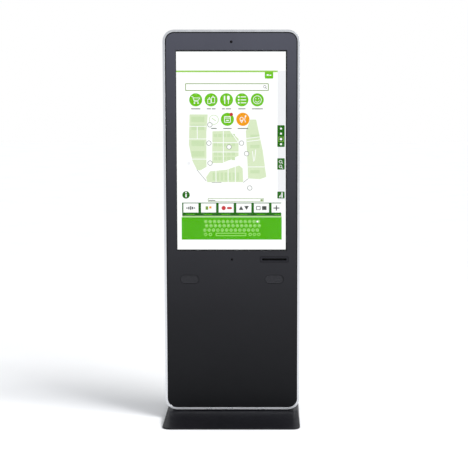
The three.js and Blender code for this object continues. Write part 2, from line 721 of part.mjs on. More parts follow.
function baseTop(z, inset) {
  const { topWidth, topDepth } = BASE;
  return { shape: rounded(0, 0, topWidth - 2 * inset, topDepth - 2 * inset, 20 - inset), z };
}

function baseCover() {
  const outside = loft([baseOutline(COVER_CLEARANCE, 0), baseOutline(BASE.edge, 0), baseTop(BASE.top, 0)]);
  const wall = COVER_WALL;
  const inside = loft([
    baseOutline(COVER_CLEARANCE - 1, wall),
    baseOutline(BASE.edge - 1.2, wall),
    baseTop(BASE.top - wall, wall),
  ]);
  const columnHole = box(
    -COLUMN.halfWidth - 1, COLUMN.halfWidth + 1,
    COLUMN.y0 - 1, COLUMN.y1 + 1,
    BASE.top - 8, BASE.top + 1,
  );
  return cut(outside, inside, columnHole);
}

const PLATE_TOP = BASE_PLATE.thickness;
const CORNERS = [['front_left', -1, -1], ['front_right', 1, -1], ['rear_left', -1, 1], ['rear_right', 1, 1]];

function boltY(side) {
  return side < 0 ? BOLT.yFront : BOLT.yRear;
}

function basePlate() {
  const cuts = CORNERS.flatMap(([, sideX, sideY]) => {
    const [x, y] = [sideX * LEVELLER.x, sideY * LEVELLER.y];
    return [
      rodZ(x, y, LEVELLER.pad + 1.5, -1, LEVELLER.padHeight + 1.5),
      rodZ(x, y, LEVELLER.stud + 0.5, -1, PLATE_TOP + 1),
      rodZ(sideX * BOLT.x, boltY(sideY), BOLT.radius + 0.5, -1, PLATE_TOP + 1),
    ];
  });
  const { width, depth, radius } = BASE_PLATE;
  return cut(slab(rounded(0, 0, width, depth, radius), 0, PLATE_TOP), ...cuts);
}

function pedestal() {
  const flangeTop = PLATE_TOP + GAP + FOOT_FLANGE.thickness;
  const { halfWidth, y0, y1 } = FOOT_FLANGE;
  const flange = box(-halfWidth, halfWidth, y0, y1, PLATE_TOP + GAP, flangeTop);
  const column = box(-COLUMN.halfWidth, COLUMN.halfWidth, COLUMN.y0, COLUMN.y1, flangeTop - 1, BEAM.z0 + 1);
  const beam = box(-BEAM.halfWidth, BEAM.halfWidth, BEAM.y0, BEAM.y1, BEAM.z0, BEAM.z1);
  const wall = 4;
  const columnHollow = box(
    -COLUMN.halfWidth + wall, COLUMN.halfWidth - wall,
    COLUMN.y0 + wall, COLUMN.y1 - wall,
    0, BEAM.z0 - 1,
  );
  const beamHollow = box(
    -BEAM.halfWidth - 1, BEAM.halfWidth + 1,
    BEAM.y0 + wall, BEAM.y1 - wall,
    BEAM.z0 + wall, BEAM.z1 - wall,
  );
  const holes = CORNERS.map(([, sideX, sideY]) => (
    rodZ(sideX * BOLT.x, boltY(sideY), BOLT.radius + 0.5, 0, flangeTop + 1)
  ));
  return cut(join(flange, column, beam), columnHollow, beamHollow, ...holes);
}

function upright(side) {
  const { x0, x1, top, wall } = UPRIGHT;
  const [left, right] = side < 0 ? [-x1, -x0] : [x0, x1];
  const bottom = BEAM.z1 + GAP;
  const tubeBody = box(left, right, BEAM.y0, BEAM.y1, bottom, top);
  const bore = box(left + wall, right - wall, BEAM.y0 + wall, BEAM.y1 - wall, bottom - 1, top + 1);
  const inner = CABINET.width / 2 - FRAME_WALL - GAP;
  const tabs = [300, 900, 1400, 1750].map((z) => {
    const [from, to] = side < 0 ? [-inner, -x1 + 1] : [x1 - 1, inner];
    return box(from, to, 8, 32, z - 20, z + 20);
  });
  return join(cut(tubeBody, bore), ...tabs);
}

function baseBolt(sideX, sideY) {
  const [x, y] = [sideX * BOLT.x, boltY(sideY)];
  const headBottom = PLATE_TOP + 2 * GAP + FOOT_FLANGE.thickness;
  return join(
    rodZ(x, y, BOLT.head, headBottom, headBottom + BOLT.headHeight, 6),
    rodZ(x, y, BOLT.radius, 1, headBottom + 1, 16),
  );
}

function levellingFoot(sideX, sideY) {
  const [x, y] = [sideX * LEVELLER.x, sideY * LEVELLER.y];
  return join(
    rodZ(x, y, LEVELLER.pad, 1, 1 + LEVELLER.padHeight),
    rodZ(x, y, LEVELLER.stud, LEVELLER.padHeight, LEVELLER.top, 16),
  );
}

add('base_plate', basePlate(), 'darkSteel');
add('base_cover', baseCover(), 'charcoal');
add('pedestal', pedestal(), 'darkSteel');
add('upright_left', upright(-1), 'zinc');
add('upright_right', upright(1), 'zinc');
for (const [name, sideX, sideY] of CORNERS) {
  add(`base_bolt_${name}`, baseBolt(sideX, sideY), 'zinc');
  add(`levelling_foot_${name}`, levellingFoot(sideX, sideY), 'zinc');
}

export default kiosk;
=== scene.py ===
"""Looks of the touchscreen kiosk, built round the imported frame. Metres, +Z up, the screen faces -Y."""
import json
import math

import bmesh
import bpy
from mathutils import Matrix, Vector

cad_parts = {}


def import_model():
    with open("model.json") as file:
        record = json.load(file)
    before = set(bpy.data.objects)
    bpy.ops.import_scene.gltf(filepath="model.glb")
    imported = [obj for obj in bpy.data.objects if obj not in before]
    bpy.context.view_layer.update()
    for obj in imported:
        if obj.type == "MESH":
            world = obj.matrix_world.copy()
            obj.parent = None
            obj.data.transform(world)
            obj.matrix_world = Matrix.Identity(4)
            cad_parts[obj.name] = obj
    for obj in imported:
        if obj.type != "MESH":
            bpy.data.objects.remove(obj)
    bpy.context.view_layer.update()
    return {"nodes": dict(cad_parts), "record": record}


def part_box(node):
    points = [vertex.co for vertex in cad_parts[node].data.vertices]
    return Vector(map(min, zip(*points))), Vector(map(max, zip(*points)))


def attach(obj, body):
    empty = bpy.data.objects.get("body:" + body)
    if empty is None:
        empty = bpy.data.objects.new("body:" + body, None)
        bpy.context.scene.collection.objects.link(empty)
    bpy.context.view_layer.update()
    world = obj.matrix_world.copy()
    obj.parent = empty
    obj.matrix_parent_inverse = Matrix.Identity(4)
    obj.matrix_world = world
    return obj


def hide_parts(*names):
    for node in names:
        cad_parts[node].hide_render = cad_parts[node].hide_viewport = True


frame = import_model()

MM = 0.001

# ---------------------------------------------------------------- places taken from the frame

CABINET_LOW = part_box("perimeter_frame")[0]
PANEL_LOW, PANEL_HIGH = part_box("front_panel")
GLASS_LOW, GLASS_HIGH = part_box("touch_glass")
LCD_LOW, LCD_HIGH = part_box("lcd_panel")
LCD_BORDER = 12 * MM  # the module's metal edge round its lit area
SCREEN_LEFT = LCD_LOW.x + LCD_BORDER
SCREEN_RIGHT = LCD_HIGH.x - LCD_BORDER
SCREEN_TOP = LCD_HIGH.z - LCD_BORDER
SCREEN_BOTTOM = LCD_LOW.z + LCD_BORDER
SCREEN_FACE = LCD_LOW.y

# ---------------------------------------------------------------- materials


def linear(red, green, blue):
    """A colour given as 0 to 255 display values, as linear light."""
    return tuple(
        value / 12.92 if value <= 0.04045 else ((value + 0.055) / 1.055) ** 2.4
        for value in (red / 255, green / 255, blue / 255)
    )


def scaled(colour, factor):
    return (*(min(channel * factor, 1.0) for channel in colour), 1.0)


class Nodes:
    """A material's node tree with its Principled shader."""

    def __init__(self, name):
        self.material = bpy.data.materials.new(name)
        self.material.use_nodes = True
        self.tree = self.material.node_tree
        self.shader = self.tree.nodes["Principled BSDF"]

    def add(self, kind, **values):
        node = self.tree.nodes.new(kind)
        for key, value in values.items():
            setattr(node, key, value)
        return node

    def link(self, source, target):
        self.tree.links.new(source, target)

    def noise(self, scale, detail=3.0, stretch=(1, 1, 1)):
        place = self.add("ShaderNodeTexCoord")
        mapping = self.add("ShaderNodeMapping")
        mapping.inputs["Scale"].default_value = stretch
        texture = self.add("ShaderNodeTexNoise")
        texture.inputs["Scale"].default_value = scale
        texture.inputs["Detail"].default_value = detail
        self.link(place.outputs["Object"], mapping.inputs["Vector"])
        self.link(mapping.outputs["Vector"], texture.inputs["Vector"])
        return texture.outputs["Fac"]

    def spread(self, value, low, high):
        """Maps a noise's middle range onto low to high."""
        node = self.add("ShaderNodeMapRange")
        node.inputs["From Min"].default_value = 0.3
        node.inputs["From Max"].default_value = 0.7
        node.inputs["To Min"].default_value = low
        node.inputs["To Max"].default_value = high
        self.link(value, node.inputs["Value"])
        return node.outputs["Result"]

    def mix(self, factor, first, second):
        node = self.add("ShaderNodeMix", data_type="RGBA")
        self.link(factor, node.inputs["Factor"])
        for socket, colour in ((node.inputs[6], first), (node.inputs[7], second)):
            if isinstance(colour, bpy.types.NodeSocket):
                self.link(colour, socket)
            else:
                socket.default_value = colour
        return node.outputs[2]

    def bump(self, value, strength, distance=0.0002):
        node = self.add("ShaderNodeBump")
        node.inputs["Strength"].default_value = strength
        node.inputs["Distance"].default_value = distance
        self.link(value, node.inputs["Height"])
        self.link(node.outputs["Normal"], self.shader.inputs["Normal"])


def surface(name, colour, roughness, metallic=0.0, specular=0.5, mottle=0.12, grain=900.0,
            bump=0.15, stretch=(1, 1, 1), rough_spread=0.06):
    """A finish with mottled colour, uneven roughness and a fine grain."""
    nodes = Nodes(name)
    shade = nodes.mix(
        nodes.spread(nodes.noise(7.0, 4.0, stretch), 0.0, 1.0),
        scaled(colour, 1 - mottle), scaled(colour, 1 + mottle),
    )
    nodes.link(shade, nodes.shader.inputs["Base Color"])
    smudge = nodes.spread(nodes.noise(23.0, 5.0, stretch), roughness - rough_spread, roughness + rough_spread)
    nodes.link(smudge, nodes.shader.inputs["Roughness"])
    nodes.shader.inputs["Metallic"].default_value = metallic
    nodes.shader.inputs["Specular IOR Level"].default_value = specular
    nodes.bump(nodes.noise(grain, 2.0, stretch), bump)
    return nodes.material


def front_paint_with_painted_light():
    """Charcoal powder coat with painted light over its height: a lighter, bluish painted sheen at the top and
    painted shade deepening to near black at the foot, with a fine orange-peel grain.
    """
    nodes = Nodes("front_powder_coat_painted_light")
    place = nodes.add("ShaderNodeTexCoord")
    axes = nodes.add("ShaderNodeSeparateXYZ")
    nodes.link(place.outputs["Object"], axes.inputs["Vector"])
    height = nodes.add("ShaderNodeMapRange")
    height.inputs["From Min"].default_value = PANEL_LOW.z
    height.inputs["From Max"].default_value = PANEL_HIGH.z
    nodes.link(axes.outputs["Z"], height.inputs["Value"])
    ramp = nodes.add("ShaderNodeValToRGB")
    # Painted light by height: a painted sheen, lighter and bluish, at the top and painted shade down to near
    # black at the foot.
    painted_light_stops = (
        (0.0, (9, 10, 13)),
        (0.25, (26, 26, 29)),
        (0.5, (42, 42, 46)),
        (0.75, (56, 56, 62)),
        (1.0, (70, 71, 80)),
    )
    while len(ramp.color_ramp.elements) < len(painted_light_stops):
        ramp.color_ramp.elements.new(0.5)
    for element, (position, colour) in zip(ramp.color_ramp.elements, painted_light_stops):
        element.position = position
        element.color = (*linear(*colour), 1.0)
    nodes.link(height.outputs["Result"], ramp.inputs["Fac"])
    shade = nodes.add("ShaderNodeMix", data_type="RGBA", blend_type="MULTIPLY")
    shade.inputs["Factor"].default_value = 1.0
    nodes.link(ramp.outputs["Color"], shade.inputs[6])
    mottle = nodes.mix(nodes.spread(nodes.noise(5.0, 4.0), 0.0, 1.0), (0.93, 0.93, 0.93, 1), (1, 1, 1, 1))
    nodes.link(mottle, shade.inputs[7])
    nodes.link(shade.outputs[2], nodes.shader.inputs["Base Color"])
    nodes.link(nodes.spread(nodes.noise(17.0, 5.0), 0.4, 0.5), nodes.shader.inputs["Roughness"])
    nodes.shader.inputs["Specular IOR Level"].default_value = 0.14
    nodes.bump(nodes.noise(1100.0, 2.0), 0.12)
    return nodes.material


def glass(name):
    nodes = Nodes(name)
    shader = nodes.shader
    shader.inputs["Base Color"].default_value = (0.97, 0.985, 0.98, 1)
    shader.inputs["Transmission Weight"].default_value = 1.0
    shader.inputs["IOR"].default_value = 1.15
    shader.inputs["Specular IOR Level"].default_value = 0.08
    smudge = nodes.spread(nodes.noise(11.0, 6.0), 0.0, 0.03)
    nodes.link(smudge, shader.inputs["Roughness"])
    return nodes.material


def lit(name, colour, strength=1.0):
    """Light from the display, with the faint unevenness of a backlight."""
    nodes = Nodes(name)
    value = linear(*colour)
    nodes.shader.inputs["Base Color"].default_value = (0.01, 0.01, 0.01, 1)
    nodes.shader.inputs["Roughness"].default_value = 0.6
    nodes.shader.inputs["Specular IOR Level"].default_value = 0.0
    glow = nodes.mix(nodes.spread(nodes.noise(3.0, 2.0), 0.0, 1.0), scaled(value, 0.97), (*value, 1.0))
    nodes.link(glow, nodes.shader.inputs["Emission Color"])
    nodes.shader.inputs["Emission Strength"].default_value = strength
    return nodes.material


FINISHES = {
    "trim_aluminium": surface(
        "satin_anodised_aluminium", (0.68, 0.69, 0.71), 0.3, 1.0, 0.5, 0.05, 700, 0.1, (1, 1, 0.06)
    ),
    "panel_paint": surface("charcoal_powder_coat", linear(52, 52, 57), 0.46, 0, 0.3, 0.1, 1100, 0.2),
    "base_paint": surface("black_powder_coat", linear(20, 20, 24), 0.42, 0, 0.22, 0.12, 1000, 0.2),
    "gasket_rubber": surface("black_rubber", linear(15, 15, 16), 0.8, 0, 0.2, 0.15, 500, 0.2),
    "cover_glass": glass("toughened_glass"),
    "lcd_screen": lit("display_backlight", (255, 255, 255), 1.08),
    "zinc_steel": surface("zinc_plated_steel", (0.55, 0.56, 0.58), 0.35, 1.0, 0.5, 0.14, 300, 0.1),
    "dark_steel": surface("black_steel", linear(30, 30, 32), 0.5, 0.3, 0.4, 0.15, 600, 0.2),
    "black_plastic": surface("black_moulding", linear(24, 24, 26), 0.55, 0, 0.35, 0.12, 1400, 0.3),
    "lens_glass": surface("dark_lens", linear(5, 5, 8), 0.1, 0, 0.2, 0.2, 200, 0.0, rough_spread=0.03),
    "lock_metal": surface("nickel_plate", (0.66, 0.65, 0.62), 0.22, 1.0, 0.5, 0.06, 500, 0.05),
    "roll_paper": surface("thermal_paper", linear(238, 236, 228), 0.85, 0, 0.2, 0.03, 900, 0.2, (1, 30, 30)),
    "cable_jacket": surface("pvc_jacket", linear(20, 20, 21), 0.5, 0, 0.4, 0.12, 600, 0.15),
    "bolt_zinc": surface("zinc_fastener", (0.6, 0.6, 0.6), 0.35, 1.0, 0.5, 0.1, 500, 0.1),
}
FRONT_PAINT_WITH_PAINTED_LIGHT = front_paint_with_painted_light()
BLACK_PRINT = surface("black_ceramic_print", linear(9, 9, 10), 0.35, 0, 0.4, 0.1, 900, 0.03)
DEEP_BLACK = surface("matt_black_moulding", linear(5, 5, 6), 0.7, 0, 0.1, 0.2, 900, 0.2)
# The receipt bezel is plain dark grey with little shine: painted shade for the inside of the receipt slot.
BEZEL_WITH_PAINTED_SHADE = surface("receipt_bezel_painted_shade", linear(34, 34, 38), 0.6, 0, 0.08, 0.1, 1000, 0.2)
GRILLE = surface("grille_powder_coat", linear(48, 48, 52), 0.5, 0, 0.25, 0.1, 1100, 0.2)
CONE = surface("speaker_cone_paper", linear(14, 14, 15), 0.85, 0, 0.2, 0.2, 400, 0.3)
BRASS = surface("contact_pin", (0.72, 0.66, 0.5), 0.3, 1.0, 0.5, 0.08, 400, 0.05)


# ---------------------------------------------------------------- carried-over nodes


def shade_by_angle():
    """Modifier group: smooth faces, sharp where they meet at more than 32 degrees."""
    group = bpy.data.node_groups.new("shade_by_angle", "GeometryNodeTree")
    group.interface.new_socket("Geometry", in_out="INPUT", socket_type="NodeSocketGeometry")
    group.interface.new_socket("Geometry", in_out="OUTPUT", socket_type="NodeSocketGeometry")
    make, link = group.nodes.new, group.links.new
    entry, leave = make("NodeGroupInput"), make("NodeGroupOutput")
    strip = make("GeometryNodeRemoveAttribute")
    strip.inputs["Name"].default_value = "custom_normal"
    faces = make("GeometryNodeSetShadeSmooth")
    faces.domain = "FACE"
    edges = make("GeometryNodeSetShadeSmooth")
    edges.domain = "EDGE"
    edges.inputs["Shade Smooth"].default_value = False
    angle = make("GeometryNodeInputMeshEdgeAngle")
    sharp = make("ShaderNodeMath")
    sharp.operation = "GREATER_THAN"
    sharp.inputs[1].default_value = math.radians(32)
    link(entry.outputs[0], strip.inputs["Geometry"])
    link(strip.outputs["Geometry"], faces.inputs["Geometry"])
    link(faces.outputs["Geometry"], edges.inputs["Geometry"])
    link(angle.outputs["Unsigned Angle"], sharp.inputs[0])
    link(sharp.outputs["Value"], edges.inputs["Selection"])
    link(edges.outputs["Geometry"], leave.inputs[0])
    return group


SHADE = shade_by_angle()
BEVELS = {
    "perimeter_frame": 1.6, "front_panel": 0.5, "base_cover": 1.2, "service_door": 0.6, "rear_panel": 0.6,
    "inlet_panel": 0.6, "receipt_bezel": 0.35, "touch_glass": 0.4, "base_plate": 0.8, "power_inlet": 0.5,
    "power_rocker": 0.4, "panel_gasket": 0.3, "printer_cover": 0.4, "media_pc": 0.5, "power_supply": 0.5,
}


def refine(item, bevel):
    """Welds a carried-over solid, rounds its edges and smooths its curved faces."""
    weld = item.modifiers.new("weld", "WELD")
    weld.merge_threshold = 0.00002
    if bevel:
        edge = item.modifiers.new("edge", "BEVEL")
        edge.width = bevel * MM
        edge.segments = 3
        edge.limit_method = "ANGLE"
        edge.angle_limit = math.radians(40)
    shade = item.modifiers.new("shade", "NODES")
    shade.node_group = SHADE
    level = item.modifiers.new("level", "WEIGHTED_NORMAL")
    level.keep_sharp = True
    level.weight = 100


def paint(item, material):
    if not item.material_slots:
        item.data.materials.append(None)
    for entry in item.material_slots:
        entry.link = "OBJECT"
        entry.material = material


for row in frame["record"]["subparts"]:
    item = frame["nodes"][row["node"]]
    paint(item, FINISHES[row["material_slot"]])
    refine(item, BEVELS.get(row["node"], 0.25))
# The front panel gets the powder coat with painted light: a painted sheen at the top and painted shade
# towards the floor.
paint(frame["nodes"]["front_panel"], FRONT_PAINT_WITH_PAINTED_LIGHT)
# The printer chassis is painted black steel, not its zinc finish: painted shade inside the receipt slot.
paint(frame["nodes"]["printer_chassis"], FINISHES["dark_steel"])
for name in ("webcam_housing", "sensor_housing"):
    paint(frame["nodes"][name], DEEP_BLACK)
# Dark bezel grey: painted shade for the inside of the receipt slot.
paint(frame["nodes"]["receipt_bezel"], BEZEL_WITH_PAINTED_SHADE)
paint(frame["nodes"]["speaker_driver_left"], CONE)
paint(frame["nodes"]["speaker_driver_right"], CONE)


# ---------------------------------------------------------------- mesh making


def piece(name, mesh, material, body="root"):
    item = bpy.data.objects.new(name, mesh)
    bpy.context.scene.collection.objects.link(item)
    mesh.materials.append(material)
    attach(item, body)
    return item


def prisms(name, outlines, near, far, material, body="root"):
    """Closed prisms from outlines of (x, z) points, standing between y = near and y = far."""
    work = bmesh.new()
    for outline in outlines:
        front = [work.verts.new((x, near, z)) for x, z in outline]
        back = [work.verts.new((x, far, z)) for x, z in outline]
        work.faces.new(front)
        work.faces.new(list(reversed(back)))
        for i in range(len(outline)):
            j = (i + 1) % len(outline)
            work.faces.new((front[j], front[i], back[i], back[j]))
    bmesh.ops.recalc_face_normals(work, faces=work.faces)
    mesh = bpy.data.meshes.new(name)
    work.to_mesh(mesh)
    work.free()
    return piece(name, mesh, material, body)


def pierced(name, outline, holes, near, far, material, body="root", bevel=0.0):
    """A plate of (x, z) outline with holes through it, made as a filled curve."""
    curve = bpy.data.curves.new(name, "CURVE")
    curve.dimensions = "2D"
    curve.fill_mode = "BOTH"
    curve.extrude = (far - near) / 2 - bevel
    curve.bevel_depth = bevel
    for loop in (outline, *holes):
        spline = curve.splines.new("POLY")
        spline.points.add(len(loop) - 1)
        for point, (x, z) in zip(spline.points, loop):
            point.co = (x, z, 0, 1)
        spline.use_cyclic_u = True
    shape = bpy.data.objects.new(name + "_outline", curve)
    bpy.context.scene.collection.objects.link(shape)
    bpy.context.view_layer.update()
    mesh = bpy.data.meshes.new_from_object(shape.evaluated_get(bpy.context.evaluated_depsgraph_get()))
    bpy.data.objects.remove(shape)
    bpy.data.curves.remove(curve)
    middle = (near + far) / 2
    for vertex in mesh.vertices:
        x, z, depth = vertex.co
        vertex.co = (x, middle - depth, z)
    work = bmesh.new()
    work.from_mesh(mesh)
    bmesh.ops.remove_doubles(work, verts=work.verts, dist=0.000002)
    bmesh.ops.recalc_face_normals(work, faces=work.faces)
    work.to_mesh(mesh)
    work.free()
    return piece(name, mesh, material, body)


def arc(x, z, radius, start, end, steps):
    turn = (end - start) / steps
    return [
        (x + radius * math.cos(start + i * turn), z + radius * math.sin(start + i * turn))
        for i in range(steps + 1)
    ]


def circle(x, z, radius, steps=24):
    return arc(x, z, radius, 0, 2 * math.pi, steps)[:-1]


def rounded(x0, x1, z0, z1, radius, steps=6):
    quarter = math.pi / 2
    return [
        *arc(x1 - radius, z0 + radius, radius, -quarter, 0, steps),
        *arc(x1 - radius, z1 - radius, radius, 0, quarter, steps),
        *arc(x0 + radius, z1 - radius, radius, quarter, 2 * quarter, steps),
        *arc(x0 + radius, z0 + radius, radius, 2 * quarter, 3 * quarter, steps),
    ]


# ---------------------------------------------------------------- display graphics

# Screen places are (across, down) in millimetres from the lit area's top left corner.
WIDE = (SCREEN_RIGHT - SCREEN_LEFT) / MM
LAYER = 0.00022  # spacing of the graphics' layers in front of the display module


class Drawing:
    """Flat lit graphics, gathered by colour and layer."""

    def __init__(self):
        self.groups = {}

    def shape(self, colour, layer, points):
        self.groups.setdefault((colour, layer), []).append(points)

    def rect(self, colour, layer, left, top, right, bottom):
        self.shape(colour, layer, [(left, bottom), (right, bottom), (right, top), (left, top)])

    def soft_rect(self, colour, layer, left, top, right, bottom, radius):
        self.shape(colour, layer, rounded(left, right, top, bottom, radius, 4))

    def disc(self, colour, layer, across, down, radius, steps=28):
        self.shape(colour, layer, circle(across, down, radius, steps))

    def line(self, colour, layer, points, width):
        for (x0, y0), (x1, y1) in zip(points, points[1:]):
            length = math.hypot(x1 - x0, y1 - y0)
            nx = -(y1 - y0) / length * width / 2
            ny = (x1 - x0) / length * width / 2
            self.shape(colour, layer, [
                (x0 + nx, y0 + ny), (x1 + nx, y1 + ny), (x1 - nx, y1 - ny), (x0 - nx, y0 - ny),
            ])

    def ring(self, colour, layer, across, down, radius, width, steps=20):
        loop = circle(across, down, radius, steps)
        self.line(colour, layer, [*loop, loop[0]], width)

    def outline(self, colour, layer, left, top, right, bottom, width):
        corners = [(left, top), (right, top), (right, bottom), (left, bottom), (left, top)]
        self.line(colour, layer, corners, width)

    def build(self):
        for (colour, layer), shapes in self.groups.items():
            near = SCREEN_FACE - LAYER * (layer + 1)
            placed = [
                [(SCREEN_LEFT + across * MM, SCREEN_TOP - down * MM) for across, down in points]
                for points in shapes
            ]
            prisms(f"screen_{colour}_{layer}", placed, near, near + LAYER * 0.4, INKS[colour])


INKS = {
    "green": lit("ink_green", (112, 200, 14)),
    "line_green": lit("ink_line_green", (160, 214, 90)),
    "dark_green": lit("ink_dark_green", (30, 105, 4)),
    "key_green": lit("ink_key_green", (78, 182, 0)),
    "pale_key": lit("ink_pale_key", (176, 236, 122)),
    "olive": lit("ink_olive", (118, 156, 48)),
    "orange": lit("ink_orange", (250, 160, 12)),
    "red": lit("ink_red", (205, 45, 50)),
    "map_green": lit("ink_map_green", (222, 238, 200)),
    "map_shade": lit("ink_map_shade", (208, 230, 184)),
    "white": lit("ink_white", (255, 255, 255), 1.05),
    "side_grey": lit("ink_side_grey", (247, 247, 250)),
    "grey": lit("ink_grey", (128, 134, 126)),
    "dark": lit("ink_dark", (70, 74, 70)),
}


def header(draw):
    draw.rect("side_grey", 0, 480, 90, WIDE, 706)
    draw.rect("line_green", 1, 0, 89, 480, 97)
    draw.soft_rect("green", 1, 419, 92, 459, 127, 5)
    draw.line("white", 2, [(428, 110), (438, 110)], 7)
    draw.line("white", 2, [(441, 111), (450, 111)], 5)
    draw.outline("olive", 1, 44, 151, 436, 183, 3.4)
    draw.ring("dark", 2, 419, 165, 6, 2)
    draw.line("dark", 2, [(423, 170), (428, 175)], 2.4)


def cart(draw, x, y):
    draw.line("white", 2, [(x - 20, y - 17), (x - 13, y - 14), (x - 7, y + 7), (x + 13, y + 7)], 2.6)
    draw.line("white", 2, [(x - 11, y - 9), (x + 19, y - 9), (x + 13, y + 2), (x - 8, y + 2)], 2.4)
    draw.disc("white", 2, x - 6, y + 15, 3.6, 12)
    draw.disc("white", 2, x + 11, y + 15, 3.6, 12)


def bags(draw, x, y):
    draw.outline("white", 2, x - 16, y - 3, x - 1, y + 17, 2.6)
    draw.outline("white", 2, x + 2, y - 12, x + 17, y + 14, 2.6)
    draw.line("white", 2, [(x - 12, y - 3), (x - 8, y - 13), (x - 4, y - 3)], 2.2)
    draw.line("white", 2, [(x + 6, y - 12), (x + 9, y - 19), (x + 13, y - 12)], 2.2)


def cutlery(draw, x, y):
    draw.line("white", 2, [(x - 8, y - 19), (x - 8, y + 19)], 4)
    draw.line("white", 2, [(x - 11, y - 17), (x - 11, y + 2)], 3)
    draw.line("white", 2, [(x + 9, y - 2), (x + 9, y + 19)], 3.6)
    draw.soft_rect("white", 2, x + 3, y - 19, x + 15, y, 4)


def listing(draw, x, y):
    for row in (-14, 0, 14):
        draw.disc("white", 2, x - 15, y + row, 4.4, 12)
        draw.line("white", 2, [(x - 6, y + row), (x + 20, y + row)], 4)


def smile(draw, x, y):
    draw.ring("white", 2, x, y, 19, 2.6, 28)
    draw.line("white", 2, [(x - 7, y - 8), (x - 7, y - 3)], 3)
    draw.line("white", 2, [(x + 7, y - 8), (x + 7, y - 3)], 3)
    draw.line("white", 2, arc(x, y + 1, 10, 0.3, math.pi - 0.3, 6), 2.6)


def label(draw, x, y, words):
    """Short grey dashes where a caption would stand."""
    left = x - (sum(words) + 4 * (len(words) - 1)) / 2
    for word in words:
        draw.line("grey", 2, [(left, y), (left + word, y)], 4.6)
        left += word + 4


def icons(draw):
    spacing = 73
    first, row_one, row_two = 91.5, 227, 319
    makers = (cart, bags, cutlery, listing, smile)
    words = ((44,), (20, 18), (14, 26), (34,), (52,))
    for step, (maker, caption) in enumerate(zip(makers, words)):
        x = first + step * spacing
        draw.disc("green", 1, x, row_one, 31, 36)
        maker(draw, x, row_one)
        label(draw, x, 269.5, caption)
    faint, calendar, route = 177, 241.5, 315
    draw.ring("map_shade", 2, faint, row_two + 2, 22, 3)
    draw.line("map_shade", 2, [(faint - 10, row_two - 6), (faint + 10, row_two + 8)], 4)
    draw.disc("green", 2, calendar, row_two, 31, 36)
    draw.outline("white", 3, calendar - 14, row_two - 13, calendar + 14, row_two + 14, 3)
    draw.line("white", 3, [(calendar - 14, row_two - 6), (calendar + 14, row_two - 6)], 3)
    draw.line("white", 3, [(calendar - 6, row_two + 5), (calendar + 7, row_two + 5)], 5)
    draw.disc("red", 4, calendar + 18.5, row_two - 23, 8.2, 18)
    draw.disc("orange", 2, route, row_two, 31.5, 36)
    draw.ring("white", 3, route - 6, row_two - 2, 8, 3, 14)
    draw.line("white", 3, [(route - 12, row_two + 5), (route - 6, row_two + 16), (route, row_two + 5)], 3)
    path = [(route + 12, row_two - 14), (route + 8, row_two + 2), (route + 13, row_two + 14)]
    draw.line("white", 3, path, 3)
    draw.disc("white", 3, route + 13, row_two - 15, 4, 12)
    for x, caption in ((faint, (26,)), (calendar, (40,)), (route, (50,))):
        label(draw, x, 362.5, caption)


MAP_BLOCKS = (
    [(62, 296), (148, 296), (141, 380), (141, 545), (111, 562), (95, 559), (74, 516), (58, 440)],
    [(170, 376), (252, 373), (294, 411), (294, 492), (217, 527), (168, 527)],
    [(158, 566), (235, 559), (297, 538), (313, 552), (316, 618), (144, 618), (139, 594)],
    [(349, 320), (378, 320), (409, 468), (426, 593), (395, 604), (339, 600), (336, 513), (329, 376)],
)


def floor_map(draw):
    for block in MAP_BLOCKS:
        draw.shape("map_green", 0, block)
    rooms = [(x, 388 + 22 * row, x + 17, 403 + 22 * row) for row in (0, 2, 4, 5) for x in range(176, 276, 21)]
    rooms += [(x, 572, x + 12, 610) for x in range(170, 300, 19)]
    rooms += [(70, y, 132, y + 26) for y in (306, 344, 420, 470)]
    rooms += [(350, y, 394, y + 16) for y in (392, 440, 560)]
    for room in rooms:
        draw.rect("map_shade", 1, *room)
    streets = (
        [(60, 352), (141, 352)], [(98, 352), (98, 412)], [(58, 412), (141, 412)],
        [(66, 508), (141, 508)], [(170, 430), (294, 430)], [(222, 376), (222, 527)],
        [(170, 474), (294, 474)], [(256, 376), (294, 430)], [(330, 410), (398, 402)],
        [(335, 424), (401, 416)], [(338, 545), (418, 545)], [(360, 470), (366, 520)],
        [(376, 462), (370, 515)], [(186, 562), (186, 618)], [(244, 556), (244, 618)],
        [(278, 544), (278, 618)],
    )
    for street in streets:
        draw.line("white", 2, street, 3.4)
    for x, y in ((153, 432), (308, 432), (249, 450), (158, 345), (158, 527), (332, 482), (347, 646)):
        draw.disc("white", 3, x, y, 12, 18)
        draw.ring("grey", 4, x, y, 11, 2.4, 16)
    draw.line("grey", 2, [(95, 559), (139, 612)], 2.2)
    draw.line("grey", 2, [(166, 620), (212, 620)], 2.2)
    draw.line("grey", 2, [(316, 620), (340, 601)], 2.2)
    draw.disc("side_grey", 2, 57, 528, 8, 14)


def side_buttons(draw):
    left, right = 478.5, 513.5
    middle = (left + right) / 2
    draw.soft_rect("dark_green", 1, left, 347, right, 450, 3)
    for row, y in enumerate((363, 387, 413, 437)):
        draw.disc("white", 2, middle, y, 5 + (row == 2), 12)
    draw.outline("line_green", 2, middle - 12, 403, middle + 12, 424, 1.6)
    draw.soft_rect("dark_green", 1, left, 504, right, 558, 3)
    for y in (520, 543):
        draw.ring("white", 2, middle - 2, y, 6.5, 2.4, 14)
        draw.line("white", 2, [(middle + 3, y + 5), (middle + 9, y + 10)], 2.6)
    draw.soft_rect("dark_green", 1, left, 663, right, 696, 3)
    draw.shape("white", 2, [(middle - 10, 690), (middle - 2, 690), (middle - 2, 676)])
    draw.line("white", 2, [(middle + 5, 674), (middle + 5, 692)], 6)
    draw.disc("white", 2, middle + 5, 670, 3.5, 12)
    draw.disc("dark_green", 1, 42.5, 679, 18, 28)
    draw.line("white", 2, [(42.5, 675), (42.5, 690)], 6.5)
    draw.disc("white", 2, 42.5, 668, 3.6, 12)


